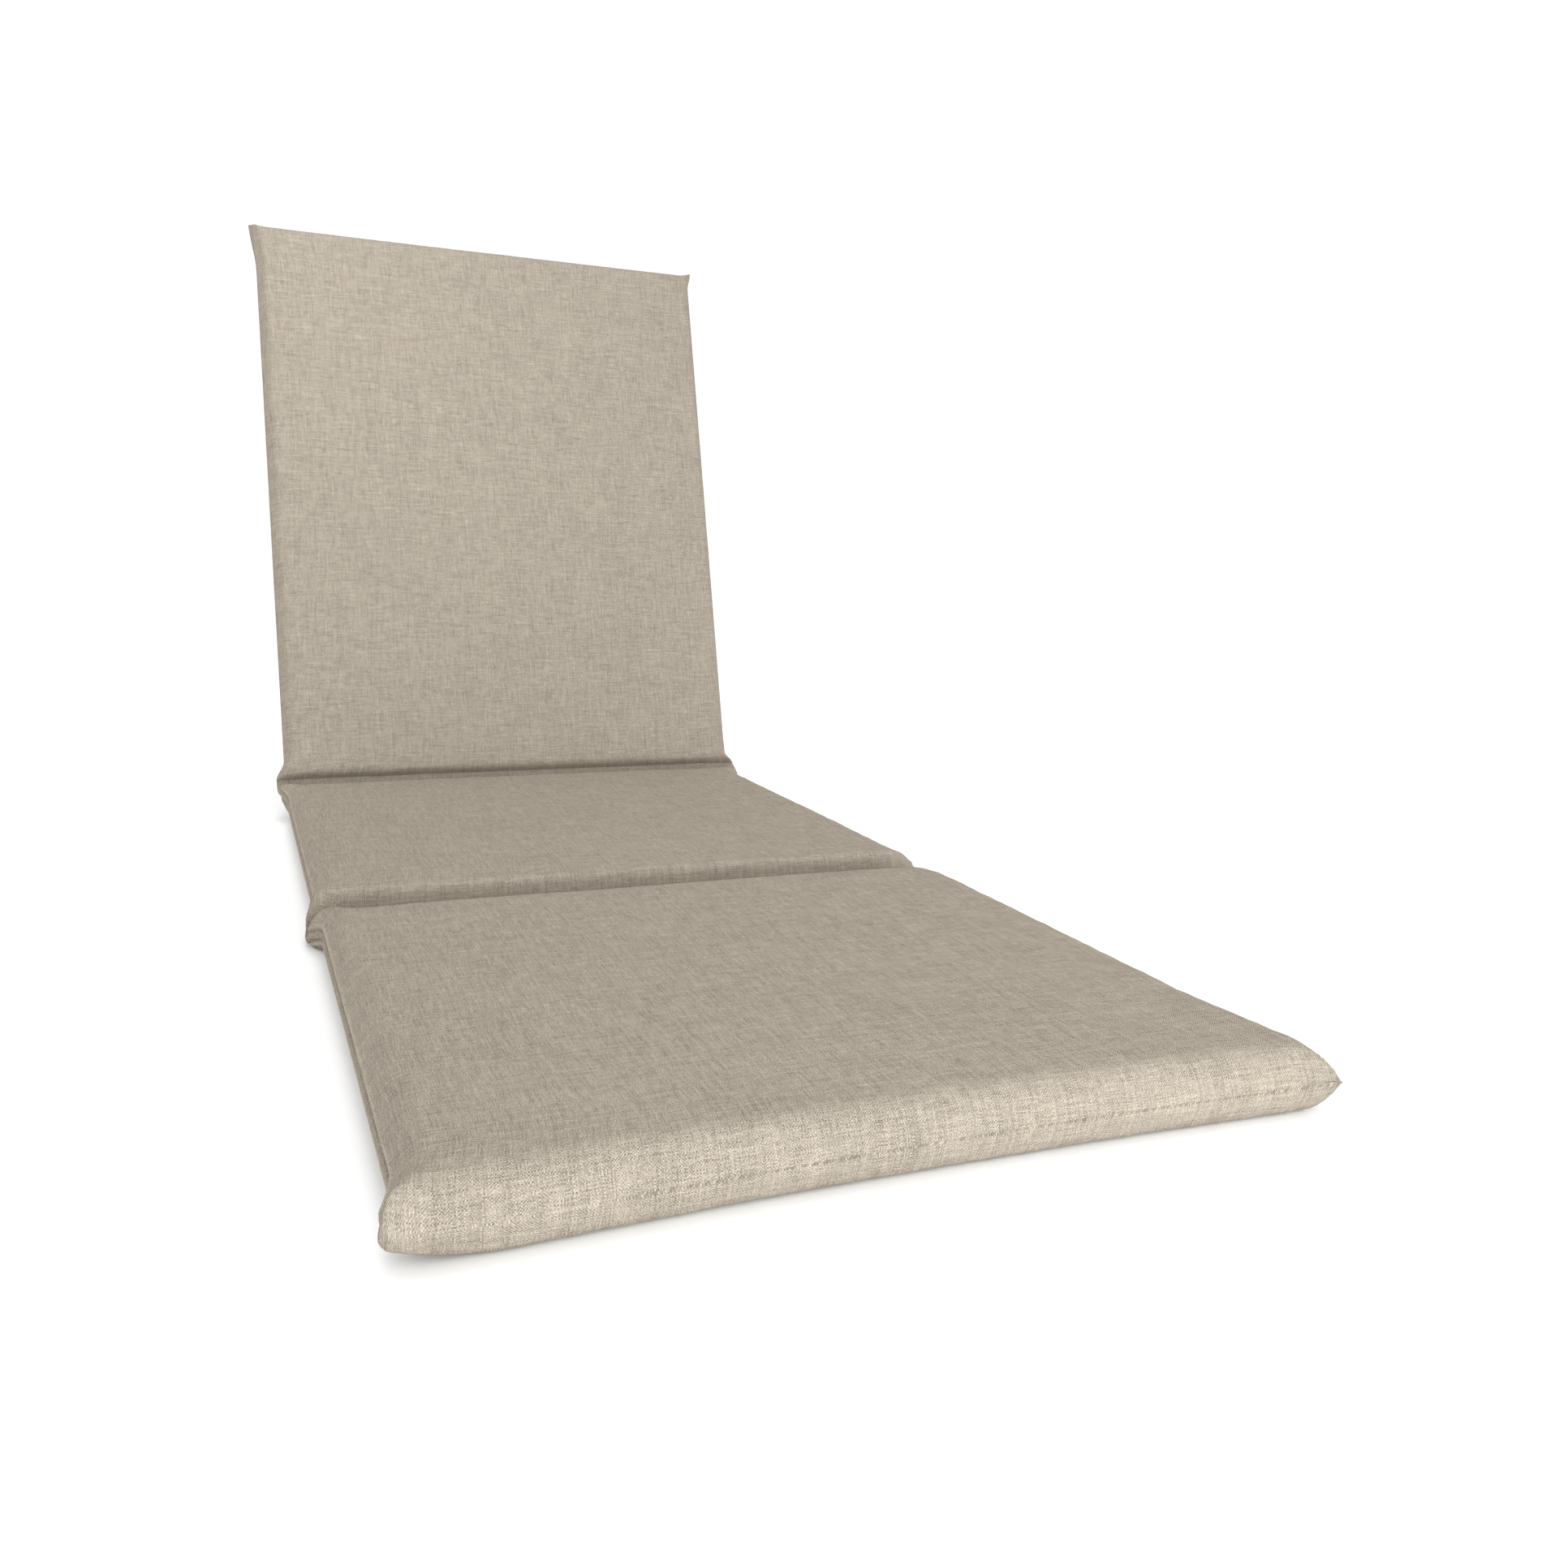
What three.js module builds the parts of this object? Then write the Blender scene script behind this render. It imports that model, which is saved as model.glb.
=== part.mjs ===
// Sun lounger cushion in three filled sections: foot and seat lie level, the back is raised.
// Millimetres. X runs across the cushion, Y from foot to head and Z up from the ground.
// The cover is two cloth panels. One seam joins them all round, half way up the sides, and two
// sewn channels across join them between the sections, so the cushion folds there.

import * as THREE from "three";

// Overall sizes
const WIDTH = 600;
const THICKNESS = 46;
const HALF = THICKNESS / 2;
const BACK_TILT = THREE.MathUtils.degToRad(72.3);

// Where the middle plane of the raised back meets the hinge, in the Y and Z of the ground frame
const HINGE_Y = 1135;
const HINGE_Z = 40;

// Edges: how each face is rounded in from a side seam, by length and power
const SIDE_OVER = { length: 28, power: 3.5 };
const SIDE_UNDER = { length: 21, power: 3 };

// Half the length over which the front and head seams are bowed in, and where it has its middle
const END_BOW = 262;
const BOW_CENTRE = 25;

// How far the droop or lift of an ear reaches along a seam, and its effect on the rounded edges
const EAR_RUN = 36;

// How far in from an ear the front and head seams are tucked
const TUCK_RUN = 20;

// Left and right ears: the share by which the filling makes the rounded edges shorter there, and
// how full the upper face's corner is. 1 is a soft cone, more is nearer to a hip roof.
const EAR_TIGHT = [0.45, 0.1];
const OVER_CORNER = [4, 2.2];

// How far in from the front ears the lower face is lifted
const LIFT_RUN = 75;

// Cloth pressed flat in a sewn channel, and the distance over which it thins to the seam
const WEB = 3;
const WEB_FADE = 4;

// An ear is blunter: its turned-in seams are this thick, this close to its point
const EAR_THICK = 11;
const EAR_FADE = 2;
const EAR_REACH = 16;

// The seam leaves its level towards a channel over this length
const SEAM_RUN = 70;

// How fully each face swells between its edges
const CROWN_POWER = 2.6;

// One row for each section. start and length are measured along the section's own middle plane.
// seam and ear give the height of the seam off that plane, between the ears and at them.
// over and under say how the upper and the lower face round down to the seam, by length and power.
// left and right are how far the side seams are drawn in, and their runs the lengths over which
// they run out again to the ears. bow, tuck and skew shape the front or head seam: drawn in at its
// middle, behind its ears, and more on the right than on the left. Each pair is foot end, head end.
// corner is how full the lower face's corners are, and lift the share by which it rises at the
// foot end: these pairs are left, right.
const SECTIONS = [
  {
    name: "foot",
    start: 0,
    length: 576,
    seam: [0, -7],
    ear: [0, -18],
    over: [{ length: 28, power: 3.5 }, { length: 80, power: 2.2 }],
    under: [{ length: 20, power: 3.2 }, { length: 28, power: 3 }],
    crown: { over: 2.5, under: 0 },
    left: [10, 9],
    right: [13, 9],
    leftRun: [60, 45],
    rightRun: [150, 120],
    bow: 7.5,
    tuck: 1,
    skew: 0,
    corner: { first: [4, 2.2], last: [1.3, 1.3] },
    lift: [0.6, 0.05],
  },
  {
    name: "seat",
    start: 576,
    length: 542,
    seam: [-7, 18],
    ear: [-18, 14],
    over: [{ length: 26, power: 3.8 }, { length: 24, power: 2.4 }],
    under: [{ length: 28, power: 3 }, { length: 62, power: 2 }],
    crown: { over: 2, under: 0 },
    left: [8, 9],
    right: [9, 9],
    leftRun: [60, 35],
    rightRun: [41, 35],
    bow: 0,
    tuck: 0,
    skew: 0,
    corner: { first: [1.3, 1.3], last: [1.3, 1.3] },
    lift: [0, 0],
  },
  {
    name: "back",
    start: 5,
    length: 724,
    seam: [8, 0],
    ear: [3, 0],
    over: [{ length: 22, power: 4 }, { length: 28, power: 3.5 }],
    under: [{ length: 28, power: 3.5 }, { length: 28, power: 3.5 }],
    crown: { over: 2.5, under: 0 },
    left: [9, 6],
    right: [10, 5],
    leftRun: [25, 48],
    rightRun: [15, 29],
    bow: 0.5,
    tuck: 2.5,
    skew: 3.5,
    corner: { first: [1.3, 1.3], last: [1.3, 1.3] },
    lift: [0, 0],
  },
];

// Mesh stations: shares of a rounded edge, then even steps between the edges
const EDGE_SHARES = [0, 0.07, 0.18, 0.33, 0.52, 0.75, 1];
const STEP_ALONG = 72;
const STEP_ACROSS = 68;

// Share of the full height at a distance in from the seam
function rounding(distance, edge) {
  const inside = Math.min(distance / edge.length, 1);
  return 1 - Math.pow(1 - inside, edge.power);
}

// A rounded edge made shorter near an ear, where the filling pushes into the corner
function tightened(edge, share, side) {
  return { length: edge.length * (1 - EAR_TIGHT[side] * share), power: edge.power };
}

// Two shares of the full height brought together, as at a corner
function cornered(one, other, power) {
  const lost = Math.pow(1 - one, power) + Math.pow(1 - other, power);
  return Math.max(1 - Math.pow(lost, 1 / power), 0);
}

// 1 at an ear, falling to 0 over the length in which the seam runs out to it
function earShare(distance, run) {
  return (1 + Math.cos(Math.PI * Math.min(distance / run, 1))) / 2;
}

// Distances from the start of a run to its end, close together in the rounded edges
function stations(length, fromEdge, toEdge, step) {
  const inner = length - fromEdge - toEdge;
  const count = Math.max(Math.round(inner / step), 1);
  const list = EDGE_SHARES.map((share) => share * fromEdge);
  for (let i = 1; i < count; i += 1) {
    list.push(fromEdge + (inner * i) / count);
  }
  for (const share of [...EDGE_SHARES].reverse()) {
    list.push(length - share * toEdge);
  }
  return list;
}

// Height of the seam off the middle plane of a section
function seamHeight(section, along, fromSide) {
  const ear = earShare(fromSide, EAR_RUN);
  const levels = section.seam.map((level, i) => THREE.MathUtils.lerp(level, section.ear[i], ear));
  const nearFirst = Math.max(1 - along / SEAM_RUN, 0);
  const nearLast = Math.max(1 - (section.length - along) / SEAM_RUN, 0);
  return levels[0] * nearFirst * nearFirst + levels[1] * nearLast * nearLast;
}

// Share of the full height that one face has, as both its edges and its corners allow
function fullness(section, along, fromSide, side, face) {
  const toEnd = section.length - along;
  const [first, last] = face > 0 ? section.over : section.under;
  const nearSide = earShare(fromSide, EAR_RUN);
  const nearEnd = earShare(Math.min(along, toEnd), EAR_RUN);
  const start = rounding(along, tightened(first, nearSide, side));
  const end = rounding(toEnd, tightened(last, nearSide, side));
  const sides = rounding(fromSide, tightened(face > 0 ? SIDE_OVER : SIDE_UNDER, nearEnd, side));
  if (face > 0) {
    return cornered(start * end, sides, OVER_CORNER[side]);
  }
  const corner = along > toEnd ? section.corner.last : section.corner.first;
  const nearFront = Math.max(1 - Math.hypot(fromSide, along) / LIFT_RUN, 0);
  const lifted = section.lift[side] * nearFront * nearFront;
  return cornered(start * end, sides, corner[side]) * (1 - lifted);
}

// Height of one face of a section off its middle plane; face is 1 for the upper, -1 for the lower,
// and side is 0 for the left, 1 for the right
function faceHeight(section, along, fromSide, side, face) {
  const full = fullness(section, along, fromSide, side, face);
  const seam = seamHeight(section, along, fromSide);
  const fromEnd = Math.min(along, section.length - along);
  const halfWeb = (WEB / 2) * Math.min(fromSide / WEB_FADE, 1);
  const fromPoint = Math.min(fromSide, fromEnd);
  const nearPoint = Math.max(1 - Math.hypot(fromSide, fromEnd) / EAR_REACH, 0);
  const halfEar = (EAR_THICK / 2) * nearPoint * Math.min(fromPoint / EAR_FADE, 1);
  const rise = Math.max((HALF - face * seam) * full, halfWeb, halfEar);
  const lengthwise = Math.abs((2 * along) / section.length - 1);
  const crosswise = Math.abs(1 - (2 * fromSide) / WIDTH);
  const swell = (1 - Math.pow(lengthwise, CROWN_POWER)) * (1 - Math.pow(crosswise, CROWN_POWER));
  const crown = face > 0 ? section.crown.over : section.crown.under;
  return seam + face * (rise + crown * swell);
}

// A point of a section, from its place on the middle plane and its height off that plane
function placed(section, across, along, height) {
  const distance = section.start + along;
  if (section.name === "back") {
    const y = HINGE_Y + distance * Math.cos(BACK_TILT) - height * Math.sin(BACK_TILT);
    const z = HINGE_Z + distance * Math.sin(BACK_TILT) + height * Math.cos(BACK_TILT);
    return new THREE.Vector3(across, y, z);
  }
  return new THREE.Vector3(across, distance, HALF + height);
}

// Rows of the cover from foot to head. Foot and seat share the row of their channel.
function coverRows() {
  const rows = [];
  for (const section of SECTIONS) {
    const edges = section.over.map((edge, i) => Math.max(edge.length, section.under[i].length));
    for (const along of stations(section.length, edges[0], edges[1], STEP_ALONG)) {
      if (section.name === "seat" && along === 0) {
        continue;
      }
      rows.push({ section, along });
    }
  }
  return rows;
}

// How far a side seam is drawn in at a place along its section
function sideDraw(section, along, side) {
  const [first, last] = [section.left, section.right][side];
  const [firstRun, lastRun] = [section.leftRun, section.rightRun][side];
  const nearEar = Math.max(earShare(along, firstRun), earShare(section.length - along, lastRun));
  return THREE.MathUtils.lerp(first, last, along / section.length) * (1 - nearEar);
}

// How far the front or head seam is drawn in at a place across
function endDraw(section, across, fromSide) {
  const fromCentre = (across - BOW_CENTRE) / END_BOW;
  const bowed = section.bow * Math.max(1 - fromCentre * fromCentre, 0);
  const tucked = section.tuck * (1 - earShare(fromSide, TUCK_RUN));
  return bowed + tucked + (section.skew * across) / (WIDTH / 2);
}

// The point of the cover at one row and one distance across, on the upper or the lower face
function coverPoint(row, column, face) {
  const { section, along } = row;
  const half = WIDTH / 2;
  const side = column < half ? 0 : 1;
  const fromSide = Math.min(column, WIDTH - column);
  const drawn = sideDraw(section, along, side) * (1 - fromSide / half);
  const across = (2 * side - 1) * (half - fromSide - drawn);
  const pulled = endDraw(section, across, fromSide);
  const fromMiddle = (2 * along) / section.length - 1;
  let moved = along;
  if (section.name === "foot") {
    moved += pulled * Math.max(-fromMiddle, 0);
  }
  if (section.name === "back") {
    moved -= pulled * Math.max(fromMiddle, 0);
  }
  return placed(section, across, moved, faceHeight(section, along, fromSide, side, face));
}

// Closed surface: an upper and a lower grid that share the points of the seam all round
function coverGeometry() {
  const rows = coverRows();
  const columns = stations(WIDTH, SIDE_OVER.length, SIDE_OVER.length, STEP_ACROSS);
  const lastRow = rows.length - 1;
  const lastColumn = columns.length - 1;
  const onSeam = (i, j) => i === 0 || j === 0 || i === lastRow || j === lastColumn;
  const positions = [];
  const upper = [];
  const lower = [];
  const add = (point) => {
    positions.push(point.x, point.y, point.z);
    return positions.length / 3 - 1;
  };
  rows.forEach((row, i) => {
    upper.push([]);
    lower.push([]);
    columns.forEach((column, j) => {
      const over = coverPoint(row, column, 1);
      const under = coverPoint(row, column, -1);
      if (onSeam(i, j)) {
        const shared = add(over.lerp(under, 0.5));
        upper[i].push(shared);
        lower[i].push(shared);
        return;
      }
      upper[i].push(add(over));
      lower[i].push(add(under));
    });
  });
  const faces = [];
  const addQuad = (a, b, c, d) => faces.push(a, b, c, a, c, d);
  for (let i = 0; i < lastRow; i += 1) {
    for (let j = 0; j < lastColumn; j += 1) {
      addQuad(upper[i][j], upper[i][j + 1], upper[i + 1][j + 1], upper[i + 1][j]);
      addQuad(lower[i][j], lower[i + 1][j], lower[i + 1][j + 1], lower[i][j + 1]);
    }
  }
  const geometry = new THREE.BufferGeometry();
  geometry.setAttribute("position", new THREE.Float32BufferAttribute(positions, 3));
  geometry.setIndex(faces);
  geometry.computeVertexNormals();
  return geometry;
}

const cloth = new THREE.MeshStandardMaterial({ color: 0xb3aa9b, roughness: 0.95, metalness: 0 });
const cushion = new THREE.Mesh(coverGeometry(), cloth);
cushion.name = "cushion";

// The origin is on the ground, under the middle of the box that holds the cushion
cushion.geometry.computeBoundingBox();
const middle = cushion.geometry.boundingBox.getCenter(new THREE.Vector3());
cushion.position.set(-middle.x, -middle.y, 0);

const lounger = new THREE.Group();
lounger.add(cushion);

export default lounger;
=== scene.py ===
# %% [markdown]
# # A sun lounger cushion
#
# The object is one long cushion in three filled sections: foot, seat and a raised back. Two panels
# of woven cloth are sewn together all round, half way up the sides, and once more across at the
# two places where the cushion folds. This lesson builds the cover as one mesh, gives it its weave,
# and lights it softly on a pale floor.
#
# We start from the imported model, which is the fixed frame: its box tells us where the cushion is.

# %% The frame
import math

import bpy
import numpy as np
from mathutils import Matrix, Vector


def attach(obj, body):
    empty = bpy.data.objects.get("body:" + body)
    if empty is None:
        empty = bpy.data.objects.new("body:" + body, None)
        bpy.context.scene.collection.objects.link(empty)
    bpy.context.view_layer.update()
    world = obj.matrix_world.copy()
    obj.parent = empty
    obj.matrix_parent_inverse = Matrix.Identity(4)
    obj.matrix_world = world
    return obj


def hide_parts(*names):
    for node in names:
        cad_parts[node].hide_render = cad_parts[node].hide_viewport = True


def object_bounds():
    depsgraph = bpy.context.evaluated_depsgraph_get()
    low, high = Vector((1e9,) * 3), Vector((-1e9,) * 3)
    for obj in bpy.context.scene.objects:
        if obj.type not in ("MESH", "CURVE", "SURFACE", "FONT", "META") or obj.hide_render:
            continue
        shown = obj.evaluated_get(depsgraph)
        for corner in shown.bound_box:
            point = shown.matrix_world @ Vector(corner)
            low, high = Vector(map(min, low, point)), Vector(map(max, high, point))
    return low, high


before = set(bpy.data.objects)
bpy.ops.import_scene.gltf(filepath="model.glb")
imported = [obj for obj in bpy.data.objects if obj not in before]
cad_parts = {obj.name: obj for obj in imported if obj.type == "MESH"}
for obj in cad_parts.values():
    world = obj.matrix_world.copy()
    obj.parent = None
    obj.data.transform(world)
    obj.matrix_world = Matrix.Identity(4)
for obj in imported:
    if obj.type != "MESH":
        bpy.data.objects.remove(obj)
cad_box = [list(corner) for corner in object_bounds()]
print("frame box in metres:", cad_box)

# %% [markdown]
# ## The camera
#
# The photograph was taken close to the foot end with a wide lens, so the front edge is twice as
# large in the picture as the head. A camera could be set by eye. Ours was worked out from the
# corners and edges of the cushion in the photograph, so that each falls in its place. It comes
# first, since it decides how fine the detail has to be. Its place is in metres from the middle of
# the front edge, on the ground, and its turns are in radians.

# %% Camera
MM = 0.001
PHOTO_SIDE = 1932
FOCAL_PIXELS = 1663.9
SENSOR = 36.0
FRONT_Y = cad_box[0][1]

CAMERA_PLACE = Vector((-0.3573, -0.6184, 0.3588))
CAMERA_YAW = 0.3980
CAMERA_PITCH = -0.1804
CAMERA_ROLL = 0.0287


def camera_axes(yaw, pitch, roll):
    """Right, up and backward directions of a camera that looks along +Y when all three are 0."""
    forward = Vector((
        math.sin(yaw) * math.cos(pitch),
        math.cos(yaw) * math.cos(pitch),
        math.sin(pitch),
    ))
    level = Vector((math.cos(yaw), -math.sin(yaw), 0.0))
    upright = level.cross(forward)
    right = level * math.cos(roll) + upright * math.sin(roll)
    up = upright * math.cos(roll) - level * math.sin(roll)
    return right, up, -forward


camera_data = bpy.data.cameras.new("camera")
camera_data.sensor_width = SENSOR
camera_data.lens = FOCAL_PIXELS / PHOTO_SIDE * SENSOR
camera_data.clip_start = 0.01
camera = bpy.data.objects.new("camera", camera_data)
bpy.context.scene.collection.objects.link(camera)
right, up, backward = camera_axes(CAMERA_YAW, CAMERA_PITCH, CAMERA_ROLL)
turned = Matrix((right, up, backward)).transposed().to_4x4()
camera.matrix_world = Matrix.Translation(CAMERA_PLACE + Vector((0, FRONT_Y, 0))) @ turned
bpy.context.scene.camera = camera
print("lens in mm:", round(camera_data.lens, 2))

# %% [markdown]
# ## The pattern of the cushion
#
# A cushion maker works from flat sizes, and so do we. Every section is a slab of foam with rounded
# edges. Each row of the table says how long the slab is, how high its seam runs, and how its two
# faces round down to that seam.
#
# Most entries are a pair, for the foot end and the head end of the slab:
#
# - seam: height of the seam off the middle plane
# - ear: the same at the left and the right ear of that end
# - over and under: length and power of the rounding of the upper and of the lower face
# - over_corner and under_corner: how squarely the foam fills the left and the right corner of
#   that end, where a higher power is fuller
# - ear_tight: share by which a rounding is shorter near the left and the right ear of that end
# - left and right: how far the side seams are drawn in
# - left_run and right_run: the length near an ear over which that fades
#
# The others are these:
#
# - start: where the slab begins, from the front edge, and for the back from the hinge
# - side_over: length and power of the rounding of the upper face at the side seams
# - crown: how far the middle of the upper and of the lower face bulges out
# - lift: share of the foam's depth that is missing under the left and the right front ear
# - bow, tuck and skew: how a free end is bowed in, drawn in between its ears, and slanted
# - nub: how far its left and its right ear stick out
# - ridge: strength of the ridge beside the side seams
#
# The rounding is a power curve: it leaves the seam steeply and then turns into the flat face, as
# cloth does when it is pulled over foam. A box with bevelled edges would look too hard, and an
# inflated pillow too round.

# %% Sizes in millimetres, as a maker would note them
WIDTH = 600
THICKNESS = 46
HALF = THICKNESS / 2

SECTIONS = [
    {
        "name": "foot", "start": 0, "length": 576,
        "seam": (0, -7), "ear": ((0, 0), (-18, 3)), "under_corner": ((8, 12), (1.3, 1.3)),
        "over_corner": ((4, 14), (4, 1.15)), "ear_tight": ((0.6, -0.3), (0.45, -0.8)),
        "side_over": (28, 3.5),
        "over": ((28, 3.5), (80, 2.2)), "under": ((20, 3.2), (28, 3.0)),
        "crown": (2.5, 0),
        "left": (10, 9), "right": (13, 9), "left_run": (60, 45), "right_run": (150, 120),
        "lift": (0.8, 0), "bow": 7.5, "tuck": 1, "skew": 0, "nub": (0, 0), "ridge": 1.6,
    },
    {
        "name": "seat", "start": 576, "length": 542,
        "seam": (-7, 13), "ear": ((-18, 3), (14, 14)), "under_corner": ((1.3, 1.3), (1.3, 1.3)),
        "over_corner": ((4, 1.3), (4, 2.2)), "ear_tight": ((0.45, -0.5), (0.45, 0.1)),
        "side_over": (28, 3.5),
        "over": ((12, 3.0), (20, 2.6)), "under": ((28, 3.0), (62, 2.0)),
        "crown": (2, 0),
        "left": (8, 9), "right": (9, 9), "left_run": (60, 35), "right_run": (41, 35),
        "lift": (0, 0), "bow": 0, "tuck": 0, "skew": 0, "nub": (0, 0), "ridge": 1.1,
    },
    {
        "name": "back", "start": 5, "length": 724,
        "seam": (8, 0), "ear": ((3, 3), (0, 0)), "under_corner": ((1.3, 1.3), (1.3, 1.3)),
        "over_corner": ((4, 2.2), (4, 2.2)), "ear_tight": ((0.1, 0.1), (0.1, 0.1)),
        "side_over": (12, 1.4),
        "over": ((13, 3.4), (28, 3.5)), "under": ((28, 3.5), (28, 3.5)),
        "crown": (2.5, 1.5),
        "left": (9, 6), "right": (10, 5), "left_run": (25, 62), "right_run": (15, 29),
        "lift": (0, 0), "bow": 0.5, "tuck": 2.5, "skew": 3.5, "nub": (-1.5, 2), "ridge": 0.25,
    },
]
print("length of the three slabs together, in mm:", sum(section["length"] for section in SECTIONS))

# %% [markdown]
# ## Where the mesh lines run
#
# Each panel of cloth becomes a grid of rows and columns. An even grid would waste its lines on
# the flat faces and still be too coarse for the rounded edges, where the ridge beside a seam is
# only a few millimetres wide. So the lines lie close together near a seam and further apart over
# the foam.

# %% Rows and columns
EDGE_STEPS = (
    0, 0.01, 0.022, 0.035, 0.05, 0.065, 0.08, 0.095, 0.11, 0.125, 0.14,
    0.16, 0.18, 0.21, 0.25, 0.31, 0.39, 0.49, 0.61, 0.74, 0.87, 1,
)
STEP = 6.4
SIDE_EDGE = 28


def stations(length, from_edge, to_edge):
    """Distances from one end of a run to the other, close together in the rounded edges."""
    inner = length - from_edge - to_edge
    count = round(inner / STEP)
    middle = [from_edge + inner * i / count for i in range(1, count)]
    start = [share * from_edge for share in EDGE_STEPS]
    end = [length - share * to_edge for share in reversed(EDGE_STEPS)]
    return np.array(start + middle + end)


def by_side(pair):
    """One of two values for each column: the first on the left half, the second on the right."""
    return np.where(columns < WIDTH / 2, *pair)


columns = stations(WIDTH, SIDE_EDGE, SIDE_EDGE)
side_distance = np.minimum(columns, WIDTH - columns)
rows = []
for section in SECTIONS:
    edges = [max(section["over"][i][0], section["under"][i][0]) for i in (0, 1)]
    for along in stations(section["length"], *edges):
        if section["name"] != "seat" or along > 0:
            rows.append((section, along))
print(len(rows), "rows of", len(columns), "columns")

# %% [markdown]
# ## The two faces and the seam between them
#
# Both panels start at the seam and rise over the foam. In the corners the seam runs out to a
# small pointed ear, where some cloth is left over beside the foam. Pushed and pulled by hand, such
# a form is hard to change later. So we work out the height of a face for each place on the flat
# pattern, from what a maker would name: the rounding at the ends and at the sides, the corner
# between them, the thin web of cloth at the seam, and the crown of the filling.

# %% Roundings and corners
# Lengths over which the seam runs out to an ear, and from an end back to the middle plane.
EAR_RUN = 36
SEAM_RUN = 70


def rounding(distance, edge):
    """Share of the full height at a distance in from the seam."""
    length, power = edge
    return 1 - (1 - np.clip(distance / length, 0, 1)) ** power


def tightened(edge, share, tight):
    """A rounding made shorter near an ear, where the foam fills the corner."""
    return edge[0] * (1 - by_side(tight) * share), edge[1]


def cornered(one, other, power):
    """Two shares of the full height brought together, as at a corner."""
    lost = (1 - one) ** power + (1 - other) ** power
    return np.clip(1 - lost ** (1 / power), 0, 1)


def ear_share(distance, run):
    """1 at an ear, falling to 0 over the length in which the seam runs out to it."""
    return (1 + np.cos(math.pi * np.clip(distance / run, 0, 1))) / 2


def seam_height(section, along, from_side):
    """Height of the seam off the middle plane of the slab."""
    ear = ear_share(from_side, EAR_RUN)
    levels = [section["seam"][i] * (1 - ear) + by_side(section["ear"][i]) * ear for i in (0, 1)]
    near_first = max(1 - along / SEAM_RUN, 0)
    near_last = max(1 - (section["length"] - along) / SEAM_RUN, 0)
    return levels[0] * near_first**2 + levels[1] * near_last**2


for section in SECTIONS:
    ends = [seam_height(section, along, side_distance) for along in (0, section["length"])]
    print(section["name"], "seam at the left ears, in mm:", [float(end[0]) for end in ends])

# %% How high each face lies
# The ears are thicker and reach further on the left, so two of the values are pairs for the sides.
SIDE_UNDER = (21, 3.0)
LIFT_RUN = 60
WEB = 3
WEB_FADE = 4
EAR_THICK = (11, 6)
EAR_REACH = (16, 9)
EAR_FADE = 2
CROWN_POWER = 2.6


def face_height(section, along, from_side, face):
    """Height of the upper face (1) or the lower face (-1) off the middle plane of the slab."""
    length = section["length"]
    first, last = section["over"] if face > 0 else section["under"]
    from_end = min(along, length - along)
    end = int(along > length / 2)
    near_side = ear_share(from_side, EAR_RUN)
    near_end = ear_share(from_end, EAR_RUN)
    ends = rounding(along, tightened(first, near_side, section["ear_tight"][0]))
    ends = ends * rounding(length - along, tightened(last, near_side, section["ear_tight"][1]))
    side_edge = section["side_over"] if face > 0 else SIDE_UNDER
    sides = rounding(from_side, tightened(side_edge, near_end, section["ear_tight"][end]))
    fullness = section["over_corner" if face > 0 else "under_corner"][end]
    full = cornered(ends, sides, by_side(fullness))
    if face < 0:
        near_front = np.clip(1 - np.hypot(from_side, along) / LIFT_RUN, 0, 1)
        full = full * (1 - by_side(section["lift"]) * near_front**2)
    seam = seam_height(section, along, from_side)
    half_web = WEB / 2 * np.clip(from_side / WEB_FADE, 0, 1)
    near_point = np.clip(1 - np.hypot(from_side, from_end) / by_side(EAR_REACH), 0, 1)
    fade = np.clip(np.minimum(from_side, from_end) / EAR_FADE, 0, 1)
    half_ear = by_side(EAR_THICK) / 2 * near_point * fade
    rise = np.maximum.reduce([(HALF - face * seam) * full, half_web, half_ear])
    lengthwise = abs(2 * along / length - 1) ** CROWN_POWER
    crosswise = np.abs(1 - 2 * from_side / WIDTH) ** CROWN_POWER
    crown = section["crown"][0 if face > 0 else 1]
    return seam + face * (rise + crown * (1 - lengthwise) * (1 - crosswise))


foot = SECTIONS[0]
foot_top = HALF + face_height(foot, foot["length"] / 2, side_distance, 1).max()
print("crown of the foot above the floor, in mm:", round(foot_top, 1))

# %% [markdown]
# ## The drawn-in outline
#
# Once a cover is filled, its cloth needs length to go round the foam. The seams are drawn in
# between the ears, and the outline is no longer a rectangle. A cloth simulation would show this
# too, but here the photograph tells how far each seam is drawn in, so we give it directly.

# %% How the seams are drawn in
END_BOW = 262
BOW_CENTRE = 25
TUCK_RUN = 20
NUB_RUN = 9


def side_draw(section, along):
    """How far the side seams are drawn in at a place along the section, for each column."""
    found = []
    for side in ("left", "right"):
        first_run, last_run = section[side + "_run"]
        near_ear = max(ear_share(along, first_run), ear_share(section["length"] - along, last_run))
        share = along / section["length"]
        first, last = section[side]
        found.append((first + (last - first) * share) * (1 - near_ear))
    return by_side(found)


def end_draw(section, across, from_side):
    """How far the front or the head seam is drawn in at a place across."""
    bowed = section["bow"] * np.clip(1 - ((across - BOW_CENTRE) / END_BOW) ** 2, 0, 1)
    tucked = section["tuck"] * (1 - ear_share(from_side, TUCK_RUN))
    tucked = tucked - by_side(section["nub"]) * ear_share(from_side, NUB_RUN)
    return bowed + tucked + section["skew"] * across / (WIDTH / 2)


front_draw = end_draw(foot, columns - WIDTH / 2, side_distance)
print("front edge drawn in by at most, in mm:", round(front_draw.max(), 1))

# %% From the flat pattern to the folded cushion
# The back turns about a line across the cushion, measured from the front edge and from the floor.
BACK_TILT = math.radians(72.3)
HINGE_Y = 1135
HINGE_Z = 40


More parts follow.
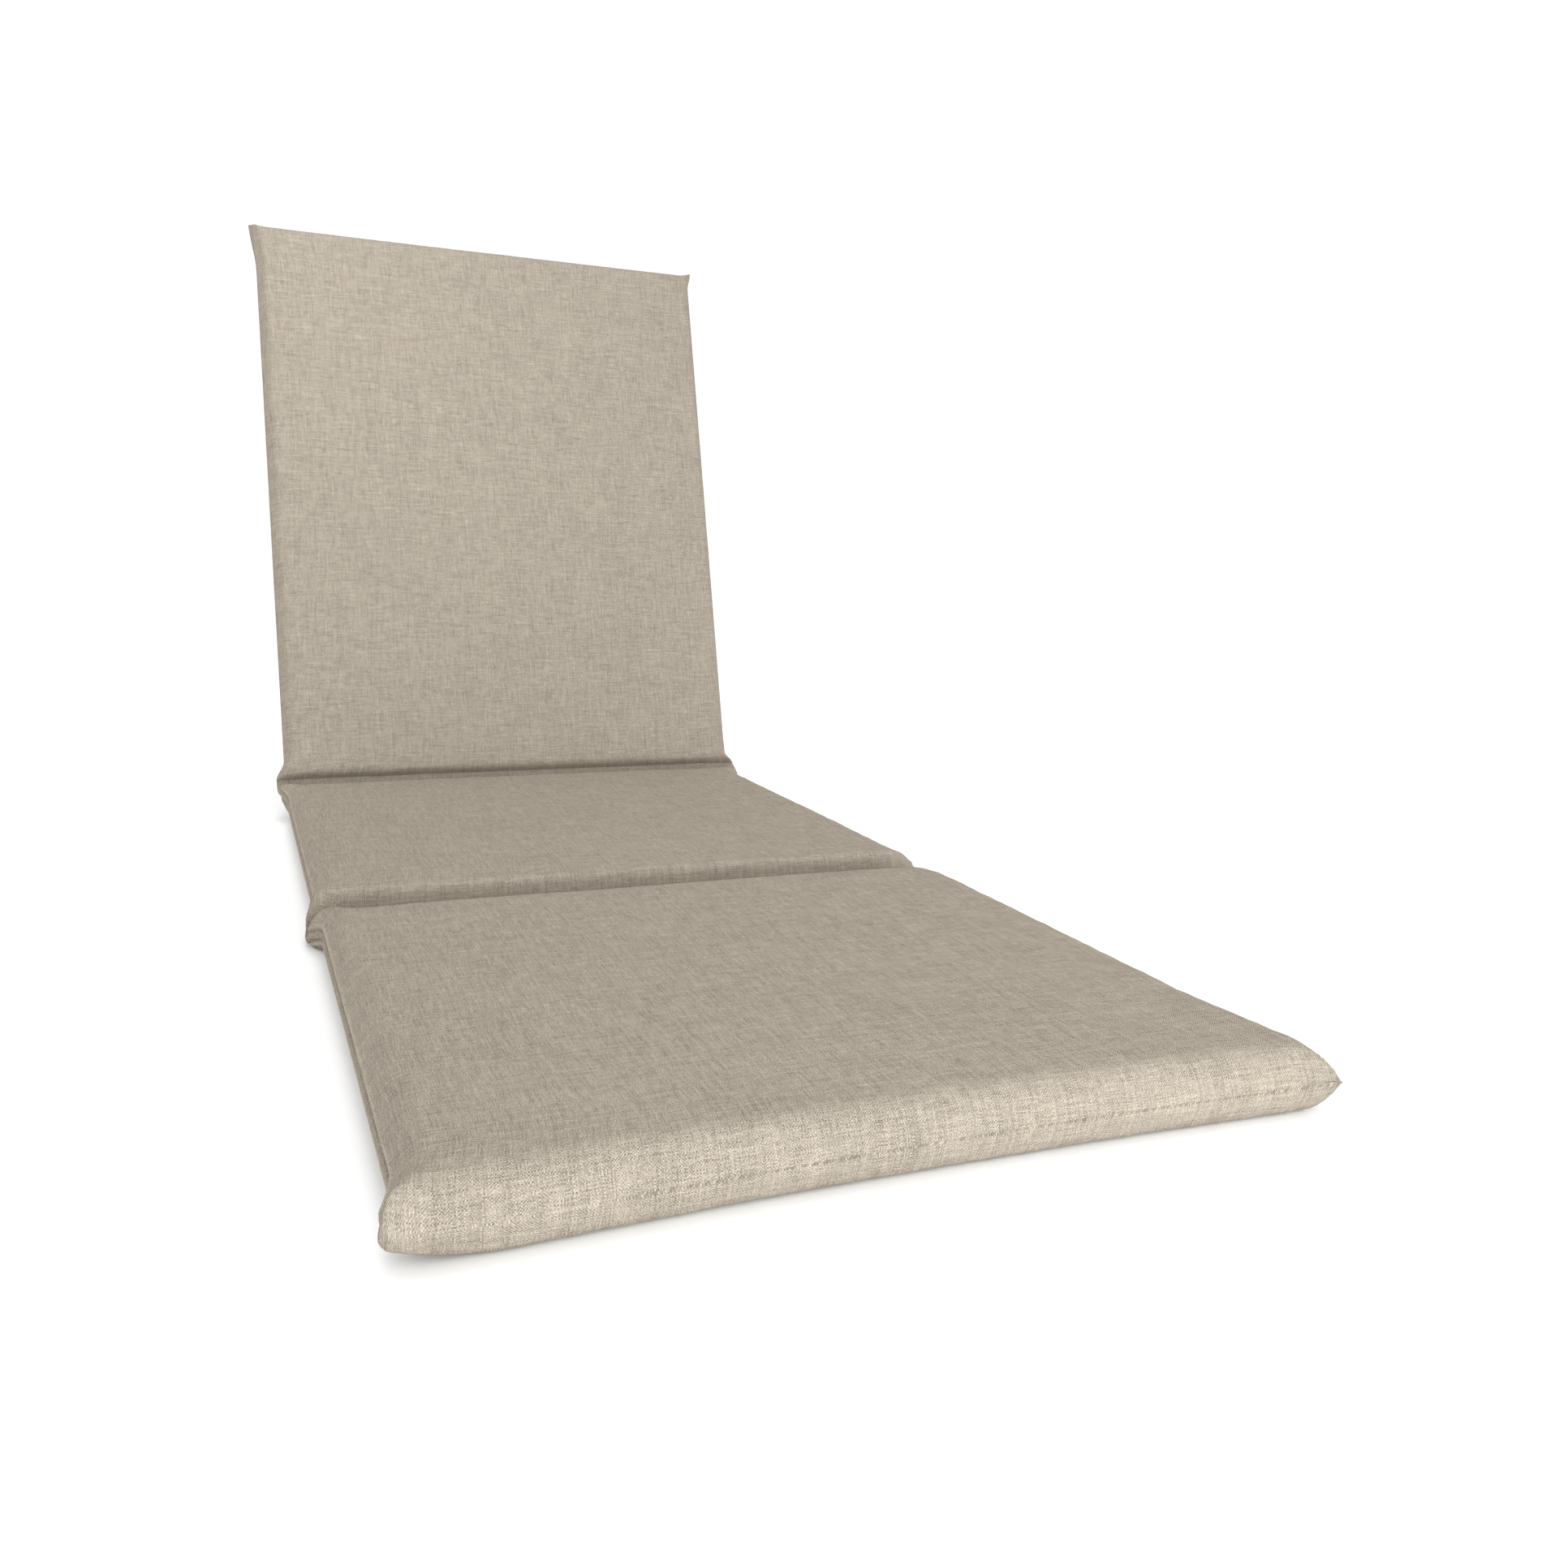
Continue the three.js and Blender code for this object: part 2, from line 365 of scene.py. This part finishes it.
def placed(section, across, along, height):
    """Points in millimetres from their place on a section's middle plane and their height off it."""
    distance = section["start"] + along
    if section["name"] == "back":
        y = HINGE_Y + distance * math.cos(BACK_TILT) - height * math.sin(BACK_TILT)
        z = HINGE_Z + distance * math.sin(BACK_TILT) + height * math.cos(BACK_TILT)
        return np.stack([across, y, z], axis=-1)
    return np.stack([across, distance, HALF + height], axis=-1)


back = SECTIONS[2]
print("middle of the head seam, in mm:", placed(back, 0.0, back["length"], 0.0).round())

# %% [markdown]
# ## Puckers and unevenness
#
# Sewn cloth is never quite flat. Near a seam it puckers, because the thread pulls it together a
# little, and over the foam it keeps a faint unevenness. A simulation would find its own puckers on
# every change of size. We add up a few waves with seeded starting points instead, so each run
# gives the same cushion.

# %% Puckers and unevenness
FULL_TURN = 2 * math.pi
SEED = 7
PUCKER = 0.55
PUCKER_REACH = 13
PUCKER_LENGTHS = (17, 23, 31, 47, 71)
UNEVEN = 0.35
UNEVEN_COUNT = 14
UNEVEN_SHORTEST = 90
UNEVEN_STEP = 22
random = np.random.default_rng(SEED)
pucker_waves = [(length, random.uniform(0, FULL_TURN)) for length in PUCKER_LENGTHS]
uneven_waves = [
    (random.uniform(-1, 1), random.uniform(-1, 1), random.uniform(0, FULL_TURN))
    for _ in range(UNEVEN_COUNT)
]


def puckers(place, face):
    """Waves along a seam, from -1 to 1, that start elsewhere on each face."""
    waves = sum(
        np.sin(FULL_TURN * place / length + start * (2 + face)) for length, start in pucker_waves
    )
    return waves / len(pucker_waves)


def unevenness(across, distance, face):
    """Slow waves over a whole face, from about -1 to 1, that start elsewhere on each face."""
    total = 0
    for i, (turn_x, turn_y, start) in enumerate(uneven_waves):
        length = UNEVEN_SHORTEST + UNEVEN_STEP * i
        turned = FULL_TURN * (turn_x * across + turn_y * distance) / length
        total = total + np.sin(turned + start + face)
    return total / math.sqrt(len(uneven_waves))


print("waves in the puckers and over the faces:", len(pucker_waves), len(uneven_waves))

# %% [markdown]
# ## The seam ridge and the pleats
#
# Inside the cover the edges of the cloth are folded back along the seam. They show from outside
# as a low ridge beside the side seams, with a groove between ridge and seam. At each ear the cloth
# is gathered into a few pleats that fan out from the tip. A bump map could only shade them. They
# are high enough to show in the outline, so we move the points of the panel along its normals.

# %% Ridge, groove and pleats
# The places of ridge and groove are their distances from the side seam, along the cloth.
RIDGE = 0.9
RIDGE_PLACE = 8.0
RIDGE_WIDE = 1.6
GROOVE = 0.7
GROOVE_PLACE = 4.4
PLEAT = 0.45
PLEATS = 9
PLEAT_START = 16
PLEAT_REACH = 34
PLEAT_EDGE = 5


def normals(panel, face):
    """Unit normals of a grid of points, facing out."""
    crossed = np.cross(np.gradient(panel, axis=1), np.gradient(panel, axis=0))
    return face * crossed / np.linalg.norm(crossed, axis=-1, keepdims=True)


def raised(panel, face):
    """The panel with its seam ridge and its pleats at the ears, and the height of the ridge."""
    crosswise = np.linalg.norm(np.diff(panel, axis=1), axis=-1)
    from_left = np.concatenate([np.zeros((len(rows), 1)), np.cumsum(crosswise, axis=1)], axis=1)
    from_side = np.minimum(from_left, from_left[:, -1:] - from_left)
    ridge = np.exp(-(((from_side - RIDGE_PLACE) / RIDGE_WIDE) ** 2))
    groove = np.exp(-(((from_side - GROOVE_PLACE) / RIDGE_WIDE) ** 2))
    strength = np.array([section["ridge"] for section, along in rows])[:, None]
    height = strength * (RIDGE * ridge - GROOVE * groove)
    pleats = 0
    flat_side = side_distance[None, :]
    for end in ("start", "end"):
        from_end = np.array([
            along if end == "start" else section["length"] - along for section, along in rows
        ])[:, None]
        distance = np.hypot(flat_side, from_end)
        turned = np.arctan2(from_end, flat_side + 1)
        begun = 1 - ear_share(distance, PLEAT_START)
        height = height * begun
        near = begun * np.exp(-((distance / PLEAT_REACH) ** 2))
        edge = np.clip(np.minimum(flat_side, from_end) / PLEAT_EDGE, 0, 1)
        phase = by_side((0, 2))[None, :]
        pleats = pleats + PLEAT * near * edge * np.sin(PLEATS * turned + face + phase)
    return panel + (height + pleats)[..., None] * normals(panel, face), height


ridge_heights = {section["name"]: round(section["ridge"] * RIDGE, 2) for section in SECTIONS}
print("ridge in mm:", ridge_heights)

# %% One row of the cover
SEAM_VALLEY = 0.6
SEAM_VALLEY_REACH = 0.9


def cover_row(section, along, face):
    """One row of points of the cover, in millimetres, on the upper or the lower face."""
    half = WIDTH / 2
    from_side = side_distance
    inward = 1 - from_side / half
    drawn = side_draw(section, along) * inward
    from_end = min(along, section["length"] - along)
    side_valley = SEAM_VALLEY * (1 - ear_share(from_end, TUCK_RUN))
    drawn = drawn + side_valley * np.exp(-((from_side / SEAM_VALLEY_REACH) ** 2))
    across = by_side((-1, 1)) * (half - from_side - drawn)
    pulled = end_draw(section, across, from_side)
    from_middle = 2 * along / section["length"] - 1
    end_valley = SEAM_VALLEY * (1 - ear_share(from_side, TUCK_RUN))
    valley = end_valley * math.exp(-((from_end / SEAM_VALLEY_REACH) ** 2))
    moved = np.full_like(across, along)
    if section["name"] == "foot" and from_middle < 0:
        moved = along - pulled * from_middle + valley
    if section["name"] == "back" and from_middle > 0:
        moved = along - pulled * from_middle - valley
    height = face_height(section, along, from_side, face)
    distance = section["start"] + along
    near_side = from_side / PUCKER_REACH * np.exp(1 - from_side / PUCKER_REACH)
    near_end = from_end / PUCKER_REACH * math.exp(1 - from_end / PUCKER_REACH)
    wavy = PUCKER * (near_side * puckers(distance, face) + near_end * puckers(across, face))
    inside = rounding(from_side, section["side_over"]) * rounding(from_end, section["side_over"])
    wavy = wavy + UNEVEN * inside * unevenness(across, distance, face)
    points = placed(section, across, moved, height + face * wavy)
    points[:, 2] = np.maximum(points[:, 2], 0)
    return points


front_seam = cover_row(foot, 0, 1)
print("front seam in mm, from", front_seam[0].round(), "to", front_seam[-1].round())

# %% [markdown]
# ## The cover as one mesh
#
# The upper and the lower panel are two grids with the same rows and columns. They share the points
# of the seam all round, so the mesh is closed and has no loose edge. Two separate panels would be
# closer to the real pieces of cloth, but would leave a gap or a step where they are sewn.
#
# Each point also keeps its place on the flat cloth as a UV in metres, so the weave follows the
# panel round every fold. Two numbers go with it for the material: the distance from the nearest
# seam, and how high the ridge stands there. The side seams, and the left end of the front one, are
# pulled tight and show no line, so there the distance never comes near zero.

# %% Places on the flat cloth
# The front seam opens between two places across, measured from the middle of the cushion.
SEAM_OPENS = (-215, -170)
CLOSED_SEAM = 3


def flat_cloth(panel):
    """Place of each point on the flat cloth, and its distance from the seam, in millimetres."""
    middle_column = len(columns) // 2
    middle_of_foot = len(rows) // (2 * len(SECTIONS))
    lengthwise = np.linalg.norm(np.diff(panel[:, middle_column], axis=0), axis=-1)
    crosswise = np.linalg.norm(np.diff(panel[middle_of_foot], axis=0), axis=-1)
    v = np.concatenate([[0], np.cumsum(lengthwise)])
    u = np.concatenate([[0], np.cumsum(crosswise)])
    from_side = np.minimum(u, u[-1] - u)
    from_end = np.minimum(v, v[-1] - v)
    closed = np.interp(columns - WIDTH / 2, SEAM_OPENS, (CLOSED_SEAM, 0))
    from_seam = np.minimum(from_side[None, :] + CLOSED_SEAM, from_end[:, None] + closed[None, :])
    return np.stack(np.broadcast_arrays(u[None, :], v[:, None]), axis=-1), from_seam


def whole_panel(face):
    """All points of one panel in millimetres, and the height of its ridge."""
    flat = np.stack([cover_row(section, along, face) for section, along in rows])
    return raised(flat, face)


upper_cloth = flat_cloth(whole_panel(1)[0])[0]
print("upper panel laid flat, in mm:", upper_cloth[-1, -1].round())


# %% Build the cover
def build_cover():
    """The closed cover mesh, with cloth coordinates, distances from the seam and ridge heights."""
    last_row = len(rows) - 1
    last_column = len(columns) - 1
    upper, upper_ridge = whole_panel(1)
    lower, lower_ridge = whole_panel(-1)
    lower[..., 2] = np.maximum(lower[..., 2], 0)
    row_index, column_index = np.indices(upper.shape[:2])
    on_seam = (row_index == 0) | (row_index == last_row)
    on_seam |= (column_index == 0) | (column_index == last_column)
    upper[on_seam] = (upper[on_seam] + lower[on_seam]) / 2
    upper_number = np.arange(on_seam.size).reshape(on_seam.shape)
    lower_number = upper_number.copy()
    lower_number[~on_seam] = on_seam.size + np.arange((~on_seam).sum())
    points = np.concatenate([upper.reshape(-1, 3), lower[~on_seam]]) * MM
    points[:, 1] += FRONT_Y

    def quads(number, flipped):
        """The four point numbers of each face of a grid."""
        corners = [number[:-1, :-1], number[:-1, 1:], number[1:, 1:], number[1:, :-1]]
        if flipped:
            corners = corners[::-1]
        return np.stack(corners, axis=-1).reshape(-1, 4)

    faces = np.concatenate([quads(upper_number, False), quads(lower_number, True)])
    mesh = bpy.data.meshes.new("cushion_cover")
    mesh.from_pydata(points.tolist(), [], faces.tolist())

    cloth, from_seam = zip(flat_cloth(upper), flat_cloth(lower))
    corner_uvs = [cloth[side].reshape(-1, 2)[quads(upper_number, side == 1)] for side in (0, 1)]
    layer = mesh.uv_layers.new(name="cloth")
    layer.data.foreach_set("uv", (np.concatenate(corner_uvs) * MM).astype(np.float32).reshape(-1))
    for name, parts in (("from_seam", from_seam), ("ridge", (upper_ridge, lower_ridge))):
        values = np.concatenate([parts[0].reshape(-1), parts[1][~on_seam]]) * MM
        stored = mesh.attributes.new(name, "FLOAT", "POINT")
        stored.data.foreach_set("value", values.astype(np.float32))
    mesh.shade_smooth()
    mesh.validate()
    piece = bpy.data.objects.new("cushion_cover", mesh)
    bpy.context.scene.collection.objects.link(piece)
    return piece


cover = build_cover()
print("cover triangles:", sum(len(face.vertices) - 2 for face in cover.data.polygons))

# %% [markdown]
# ## The cloth
#
# The cover is outdoor cloth: a plain weave of spun polyester in mixed light and dark fibres, which
# makers call melange. To the eye it is a matt beige with short streaks along and across, where a
# thread is lighter or darker for a while, and close up a fine check of thread over thread.
#
# A picture of such cloth could be laid on, but it would repeat, blur close up, and bring its own
# light. Worked out from noise, the weave stays sharp and each of its sizes can be changed.
#
# The weave is drawn in the flat cloth coordinates, with threads 0.88 mm apart, as in the
# photograph. Every thread has its own short and long runs of light and dark, so we look up the
# noise by the number of the thread in one direction and by the place along it in the other.
# Single fibres are far too fine to show, so they are drawn coarser than they are: the tone of a
# thread stands for all of its fibres, and a soft noise of 0.9 mm for flecks where they stick out.
#
# Polyester alone is a little glossy, with an index of refraction of 1.5 to 1.6. A rough weave of
# it scatters nearly all of that, so the roughness is high and the specular level low.
#
# On the ridge the cloth is painted a little lighter, a painted highlight, and the groove beside it
# is painted darker, a painted shade. The open part of the front seam shows as a faint line of
# painted shade, broken where the stitches hold it.

# %% Colours and a small node helper
DARK_YARN = "#6f685d"
LIGHT_YARN = "#bdb2a2"
# The colour of the painted shade in the gap of the open front seam.
SEAM_SHADE = "#5c564d"


def linear(code):
    """An sRGB hex colour as the linear RGBA that a shader needs."""
    shares = [int(code[i:i + 2], 16) / 255 for i in (1, 3, 5)]
    curved = [s / 12.92 if s <= 0.04045 else ((s + 0.055) / 1.055) ** 2.4 for s in shares]
    return (*curved, 1.0)


def add_node(tree, kind, inputs=None, **settings):
    """Adds a node, sets its properties, and sets its inputs or links them to nodes or sockets."""
    node = tree.nodes.new(kind)
    for name, value in settings.items():
        setattr(node, name, value)
    for name, value in (inputs or {}).items():
        source = value.outputs[0] if isinstance(value, bpy.types.Node) else value
        if isinstance(source, bpy.types.NodeSocket):
            tree.links.new(source, node.inputs[name])
        else:
            node.inputs[name].default_value = source
    return node


print("dark and light yarn, linear:", linear(DARK_YARN)[:3], linear(LIGHT_YARN)[:3])

# %% The grid of threads
MATHS = "ShaderNodeMath"
VECTOR_MATHS = "ShaderNodeVectorMath"
NOISE = "ShaderNodeTexNoise"
NOISE_VALUES = {"Scale": 1.0, "Roughness": 0.65}
THREAD = 0.88
WOBBLE_LENGTH = 6
WOBBLE = 1.2


def patches(tree, cloth, length, detail):
    """Noise over the cloth, in soft patches of about this length in millimetres."""
    scale = (1 / (length * MM),) * 3
    place = add_node(tree, VECTOR_MATHS, {0: cloth, 1: scale}, operation="MULTIPLY")
    values = {"Vector": place, "Detail": detail, **NOISE_VALUES}
    return add_node(tree, NOISE, values, noise_dimensions="2D")


def thread_grid(tree, cloth):
    """Places on the cloth counted in threads, which wander a little off their lines."""
    wobble = patches(tree, cloth, WOBBLE_LENGTH, 1.0).outputs["Color"]
    shift = add_node(tree, VECTOR_MATHS, {0: wobble, 1: (WOBBLE,) * 3}, operation="MULTIPLY")
    scale = (1 / (THREAD * MM),) * 3
    return add_node(tree, VECTOR_MATHS, {0: cloth, 1: scale, 2: shift}, operation="MULTIPLY_ADD")


def crossings(tree, threads):
    """Thread over thread: above 0 where the warp is on top, below 0 where the weft is."""
    angles = add_node(tree, VECTOR_MATHS, {0: threads, 1: (math.pi,) * 3}, operation="MULTIPLY")
    waves = add_node(tree, VECTOR_MATHS, {0: angles}, operation="SINE")
    parts = add_node(tree, "ShaderNodeSeparateXYZ", {0: waves}).outputs
    return add_node(tree, MATHS, {0: parts["X"], 1: parts["Y"]}, operation="MULTIPLY")


print("threads across the cushion:", round(WIDTH / THREAD))

# %% Tone of the threads
SHORT_RUN = 9
LONG_RUN = 34
THREAD_STEP = 3.7
TWIST_LEAN = 0.45
NOISE_MEAN = 0.5


def leaning_check(tree, threads, crossing):
    turns = add_node(tree, "ShaderNodeSeparateXYZ", {0: threads}).outputs
    apart = add_node(tree, MATHS, {0: turns["X"], 1: turns["Y"]}, operation="SUBTRACT")
    diagonal = add_node(tree, MATHS, {0: apart, 1: math.pi}, operation="MULTIPLY")
    twist = add_node(tree, MATHS, {0: diagonal}, operation="COSINE")
    return add_node(tree, MATHS, {0: twist, 1: TWIST_LEAN, 2: crossing}, operation="MULTIPLY_ADD")


def thread_numbers(tree, threads):
    """A number for each thread, with steps large enough that neighbours get unlike noise."""
    whole = add_node(tree, VECTOR_MATHS, {0: threads}, operation="FLOOR")
    apart = add_node(tree, VECTOR_MATHS, {0: whole, 1: (THREAD_STEP,) * 3}, operation="MULTIPLY")
    return add_node(tree, "ShaderNodeSeparateXYZ", {0: apart}).outputs


def thread_tone(tree, threads, numbers, warp_over, run_length, detail):
    """Tone of the thread on top, which changes along it over a run of so many threads."""
    scale = (1 / run_length,) * 3
    place = add_node(tree, VECTOR_MATHS, {0: threads, 1: scale}, operation="MULTIPLY")
    runs = add_node(tree, "ShaderNodeSeparateXYZ", {0: place}).outputs
    warp_place = add_node(tree, "ShaderNodeCombineXYZ", {0: numbers["X"], 1: runs["Y"]})
    weft_place = add_node(tree, "ShaderNodeCombineXYZ", {0: runs["X"], 1: numbers["Y"]})
    warp, weft = [
        add_node(tree, NOISE, {"Vector": at, "Detail": detail, **NOISE_VALUES}, noise_dimensions="2D")
        for at in (warp_place, weft_place)
    ]
    # A Mix node has its share at 0, and for numbers its pair at 2 and 3.
    return add_node(tree, "ShaderNodeMix", {0: warp_over, 2: weft, 3: warp})


def varied(tree, tone, pattern, contrast):
    """The tone made lighter and darker by a pattern of noise."""
    change = add_node(tree, MATHS, {0: pattern, 1: NOISE_MEAN}, operation="SUBTRACT")
    return add_node(tree, MATHS, {0: change, 1: contrast, 2: tone}, operation="MULTIPLY_ADD")


print("runs of light and dark, in mm:", SHORT_RUN * THREAD, LONG_RUN * THREAD)

# %% Painted shade in the open seam
SEAM_SHADE_REACH = 0.75
STITCH = 3.2
STITCH_STARTS = 0.36
STITCH_FULL = 0.6
STITCH_SHADE = 0.62


def painted_seam_shade(tree, cloth):
    """Strength of the painted shade in the gap of the open part of the front seam, broken by its
    stitches.
    """
    from_seam = add_node(tree, "ShaderNodeAttribute", attribute_name="from_seam").outputs["Fac"]
    share = add_node(tree, MATHS, {0: from_seam, 1: SEAM_SHADE_REACH * MM}, operation="DIVIDE")
    near = add_node(tree, MATHS, {0: 1.0, 1: share}, operation="SUBTRACT")
    stitches = patches(tree, cloth, STITCH, 0.0)
    dashes = add_node(tree, "ShaderNodeMapRange", {
        "Value": stitches, "From Min": STITCH_STARTS, "From Max": STITCH_FULL, "To Max": STITCH_SHADE,
    })
    inside = add_node(tree, MATHS, {0: near, 1: 0.0}, operation="MAXIMUM")
    return add_node(tree, MATHS, {0: inside, 1: dashes}, operation="MULTIPLY")


print("seam line reaches, in mm:", SEAM_SHADE_REACH)

# %% Woven polyester melange
RUN_CONTRAST = 0.9
LONG_CONTRAST = 1.0
CHECK_CONTRAST = 0.14
FIBRE_LENGTH = 0.9
FIBRE_CONTRAST = 0.75
MOTTLE_LENGTH = 60
MOTTLE_CONTRAST = 0.1
# How strongly the ridge height paints a highlight on the seam ridge and a shade in the groove beside
# it.
RIDGE_PAINTED_LIGHT_AND_SHADE = 0.22
THREAD_ROUNDNESS = 0.6
YARN_RELIEF = 0.5
THREAD_RELIEF = 0.26


def woven_melange():
    """Plain woven melange polyester: matt, with threads of lighter and darker runs."""
    material = bpy.data.materials.new("woven_melange_polyester")
    material.use_nodes = True
    tree = material.node_tree
    shader = tree.nodes["Principled BSDF"]
    cloth = add_node(tree, "ShaderNodeUVMap", uv_map="cloth")
    threads = thread_grid(tree, cloth)
    crossing = crossings(tree, threads)
    leaning = leaning_check(tree, threads, crossing)
    warp_over = add_node(tree, MATHS, {0: crossing, 1: 0.0}, operation="GREATER_THAN")
    bulge = add_node(tree, MATHS, {0: crossing}, operation="ABSOLUTE")
    bulge = add_node(tree, MATHS, {0: bulge, 1: THREAD_ROUNDNESS}, operation="POWER")

    numbers = thread_numbers(tree, threads)
    yarn = thread_tone(tree, threads, numbers, warp_over, SHORT_RUN, 2.0)
    slubs = thread_tone(tree, threads, numbers, warp_over, LONG_RUN, 1.0)
    fibres = patches(tree, cloth, FIBRE_LENGTH, 0.0)
    mottle = patches(tree, cloth, MOTTLE_LENGTH, 3.0)
    tone = varied(tree, NOISE_MEAN, yarn, RUN_CONTRAST)
    tone = varied(tree, tone, slubs, LONG_CONTRAST)
    tone = add_node(tree, MATHS, {0: leaning, 1: CHECK_CONTRAST, 2: tone}, operation="MULTIPLY_ADD")
    tone = varied(tree, tone, mottle, MOTTLE_CONTRAST)
    tone = varied(tree, tone, fibres, FIBRE_CONTRAST)
    # Painted highlight on the seam ridge and painted shade in its groove, from the signed ridge height.
    ridge = add_node(tree, "ShaderNodeAttribute", attribute_name="ridge").outputs["Fac"]
    painted_ridge_light_and_shade = {0: ridge, 1: RIDGE_PAINTED_LIGHT_AND_SHADE / MM, 2: tone}
    tone = add_node(tree, MATHS, painted_ridge_light_and_shade, operation="MULTIPLY_ADD")

    # A Mix node has its share at 0, and for colours its pair at 6 and 7 and its blend at output 2.
    yarn_colours = {0: tone, 6: linear(DARK_YARN), 7: linear(LIGHT_YARN)}
    colour = add_node(tree, "ShaderNodeMix", yarn_colours, data_type="RGBA").outputs[2]
    seam_colours = {0: painted_seam_shade(tree, cloth), 6: colour, 7: linear(SEAM_SHADE)}
    colour = add_node(tree, "ShaderNodeMix", seam_colours, data_type="RGBA").outputs[2]

    height = add_node(tree, MATHS, {0: yarn, 1: YARN_RELIEF, 2: bulge}, operation="MULTIPLY_ADD")
    relief = {"Height": height, "Strength": 1.0, "Distance": THREAD_RELIEF * MM}
    bump = add_node(tree, "ShaderNodeBump", relief)
    tree.links.new(colour, shader.inputs["Base Color"])
    tree.links.new(bump.outputs["Normal"], shader.inputs["Normal"])
    shader.inputs["Roughness"].default_value = 0.92
    shader.inputs["IOR"].default_value = 1.5
    shader.inputs["Specular IOR Level"].default_value = 0.08
    return material


cover.data.materials.append(woven_melange())
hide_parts("cushion")
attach(cover, "root")
print("material:", cover.data.materials[0].name)

# %% [markdown]
# ## Floor and light
#
# In the photograph the cushion stands on white, with a soft shadow along its front and left edge,
# and its front face is the brightest. A picture of a studio wrapped round the scene could light
# it, but named lamps are easier to read and to move.
#
# So the cushion stands on a plain floor in a bright white room. The floor is painted matt white
# and lies 0.4 mm below the cushion, so that no two faces lie in the same place.
#
# A long low lamp in front of the foot end and one at the front right light the front face, and a
# third, high in front, the tops and the back. The lamp overhead hangs behind the front edge, so
# the cushion casts a short soft shadow forward. A small lamp, narrowed by a grid, lifts the upper
# left of the back.

# %% Floor
FLOOR_DROP = 0.4
FLOOR_HALF = 14.0
floor_mesh = bpy.data.meshes.new("floor")
corners = [(-1, -1), (1, -1), (1, 1), (-1, 1)]
floor_points = [(x * FLOOR_HALF, y * FLOOR_HALF, -FLOOR_DROP * MM) for x, y in corners]
floor_mesh.from_pydata(floor_points, [], [(0, 1, 2, 3)])
floor = bpy.data.objects.new("floor", floor_mesh)
bpy.context.scene.collection.objects.link(floor)
floor_paint = bpy.data.materials.new("matt_white_paint")
floor_paint.use_nodes = True
paint = floor_paint.node_tree.nodes["Principled BSDF"].inputs
paint["Base Color"].default_value = linear("#fdfdfd")
paint["Roughness"].default_value = 0.9
paint["Specular IOR Level"].default_value = 0.2
floor_mesh.materials.append(floor_paint)
print("floor at", -FLOOR_DROP, "mm")

# %% Room and lamps
ROOM_LIGHT = 1.04
world = bpy.data.worlds.new("room")
world.use_nodes = True
world.node_tree.nodes["Background"].inputs["Color"].default_value = (1, 1, 1, 1)
world.node_tree.nodes["Background"].inputs["Strength"].default_value = ROOM_LIGHT
bpy.context.scene.world = world

LAMPS = [
    {
        "name": "low_front_lamp", "place": (0.25, FRONT_Y - 1.0, 0.12), "target": (0.25, FRONT_Y, 0.04),
        "size": (1.6, 0.22), "watts": 13, "spread": 180,
    },
    {
        "name": "front_right_lamp", "place": (1.4, FRONT_Y - 1.5, 0.7), "target": (0.0, FRONT_Y, 0.1),
        "size": (0.9, 0.9), "watts": 13, "spread": 180,
    },
    {
        "name": "high_front_lamp", "place": (-0.5, FRONT_Y - 1.4, 1.6), "target": (-0.1, 0.5, 0.45),
        "size": (0.9, 0.9), "watts": 7.5, "spread": 180,
    },
    {
        "name": "overhead_lamp", "place": (0.0, 0.45, 3.0), "target": (0.0, -0.2, 0.0),
        "size": (1.0, 1.0), "watts": 17, "spread": 180,
    },
    {
        "name": "back_lamp", "place": (-0.45, -0.4, 1.5), "target": (-0.3, 0.62, 0.66),
        "size": (0.4, 0.4), "watts": 0.9, "spread": 60,
    },
]
COOL_WHITE = (0.94, 0.97, 1.0)


def soft_lamp(lamp):
    """A rectangular soft lamp that looks at a target."""
    data = bpy.data.lights.new(lamp["name"], "AREA")
    data.shape = "RECTANGLE"
    data.size, data.size_y = lamp["size"]
    data.energy = lamp["watts"]
    data.spread = math.radians(lamp["spread"])
    data.color = COOL_WHITE
    piece = bpy.data.objects.new(lamp["name"], data)
    bpy.context.scene.collection.objects.link(piece)
    piece.location = lamp["place"]
    piece.rotation_mode = "QUATERNION"
    aim = Vector(lamp["target"]) - Vector(lamp["place"])
    piece.rotation_quaternion = aim.to_track_quat("-Z", "Y")


for lamp in LAMPS:
    soft_lamp(lamp)
bpy.context.scene.view_settings.view_transform = "Standard"
print("lamps:", [lamp["name"] for lamp in LAMPS])
